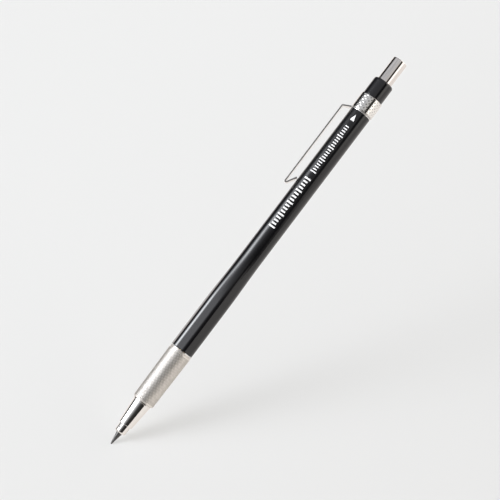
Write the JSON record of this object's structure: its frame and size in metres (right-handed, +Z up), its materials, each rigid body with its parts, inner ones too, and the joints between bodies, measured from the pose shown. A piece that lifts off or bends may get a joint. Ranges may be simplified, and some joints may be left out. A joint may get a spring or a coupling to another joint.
{
  "type": "clutch pencil",
  "caption": "Clutch pencil for 2 mm leads: black barrel turning from six-sided to round, metal grip, clip, grade ring and push button with a lead pointer inside.",
  "frame": {"origin": "on the table, under the centre of the pencil's bounding box, with the pencil lying on its side", "axes": "+X along the pencil towards the writing point, +Z up from the table, the clip on the -Y side"},
  "size_m": [0.155, 0.0108, 0.0082],
  "materials": {
    "black_plastic": "glossy injection moulded",
    "knurled_metal": "nickel plated, knurled, satin",
    "polished_metal": "polished chrome plate",
    "spring_steel": "bright rolled",
    "brass": "turned",
    "graphite": "burnished graphite lead",
    "tool_steel": "ground"
  },
  "bodies": {
    "body": {"barrel": "black_plastic", "grip_sleeve": "knurled_metal", "nose_cone": "polished_metal", "end_cap": "black_plastic", "clip_washer": "spring_steel", "clutch_spring": "spring_steel"},
    "core": {"clutch_base": "brass", "lead_tube": "brass", "spring_collar": "brass", "snap_collar": "brass"},
    "jaw_1": {"jaw_1": "polished_metal"},
    "jaw_2": {"jaw_2": "polished_metal"},
    "jaw_3": {"jaw_3": "polished_metal"},
    "lead": {"lead": "graphite"},
    "button": {"push_button": "polished_metal", "pointer_holder": "brass", "pointer_blade_1": "tool_steel", "pointer_blade_2": "tool_steel", "pointer_blade_3": "tool_steel"},
    "ring": {"grade_ring": "knurled_metal"},
    "clip": {"clip_arm": "spring_steel"}
  },
  "joints": [
    {"name": "button_press", "type": "slide", "parent": "body", "child": "core", "axis": [1, 0, 0], "range_m": [0, 0.004], "stiffness_N_per_m": 300, "springref_m": -0.0005, "deforming": ["clutch_spring"]},
    {"name": "jaw_1_open", "type": "hinge", "parent": "core", "child": "jaw_1", "pos_m": [0.0595, 0.00018, 0.00351], "axis": [0, 0.3807, -0.9247], "range_deg": [0, 2]},
    {"name": "jaw_2_open", "type": "hinge", "parent": "core", "child": "jaw_2", "pos_m": [0.0595, 0.00154, 0.00527], "axis": [0, -0.9912, 0.1326], "range_deg": [0, 2]},
    {"name": "jaw_3_open", "type": "hinge", "parent": "core", "child": "jaw_3", "pos_m": [0.0595, 0.00238, 0.00322], "axis": [0, 0.6104, 0.7921], "range_deg": [0, 2]},
    {"name": "lead_feed", "type": "slide", "parent": "core", "child": "lead", "axis": [1, 0, 0], "range_m": [-0.0065, 0.008]},
    {"name": "button_pull", "type": "slide", "parent": "core", "child": "button", "axis": [-1, 0, 0], "range_m": [0, 0.012]},
    {"name": "grade_ring_turn", "type": "hinge", "parent": "body", "child": "ring", "pos_m": [-0.0592, 0.00137, 0.004], "axis": [1, 0, 0], "continuous": true},
    {"name": "clip_flex", "type": "hinge", "parent": "body", "child": "clip", "pos_m": [-0.05595, -0.00206, 0.00259], "axis": [0, 0.3807, -0.9247], "range_deg": [0, 4], "stiffness_Nm_per_rad": 0.6, "springref_deg": -0.57}
  ],
  "couplings": [
    {"joint": "jaw_1_open", "follows": "button_press", "rad_per_m": 8.5},
    {"joint": "jaw_2_open", "follows": "button_press", "rad_per_m": 8.5},
    {"joint": "jaw_3_open", "follows": "button_press", "rad_per_m": 8.5}
  ]
}
